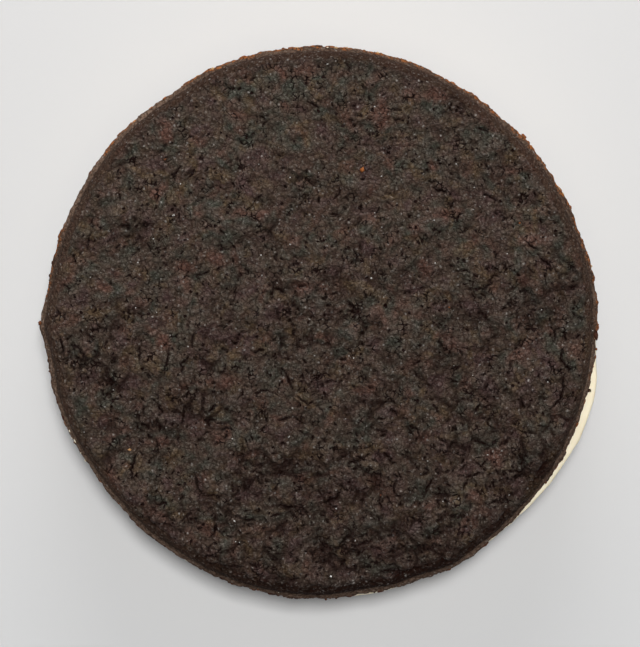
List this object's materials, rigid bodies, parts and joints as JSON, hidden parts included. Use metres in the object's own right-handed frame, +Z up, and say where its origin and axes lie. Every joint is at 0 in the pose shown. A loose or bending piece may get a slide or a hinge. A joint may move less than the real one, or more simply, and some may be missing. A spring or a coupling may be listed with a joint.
{
  "type": "chocolate sandwich biscuit",
  "caption": "Round sandwich biscuit that lies flat: dark chocolate baked biscuits with ivory cream between them, squeezed out a little at one side.",
  "frame": {"origin": "middle of the flat underside, at the bottom centre of the bounding box", "axes": "+Z up through the stack, along the round biscuits' axis; the cream stands out furthest at +X turned a little towards -Y"},
  "size_m": [0.0811, 0.0803, 0.0178],
  "materials": {
    "dark_biscuit": "dark chocolate biscuit, dry and matt, with a rough cracked baked face and fine crumb",
    "cream": "ivory sugar cream, smooth and soft with a faint waxy sheen"
  },
  "bodies": {
    "root": {"bottom_biscuit": "dark_biscuit", "cream_filling": "cream", "top_biscuit": "dark_biscuit"}
  },
  "joints": []
}
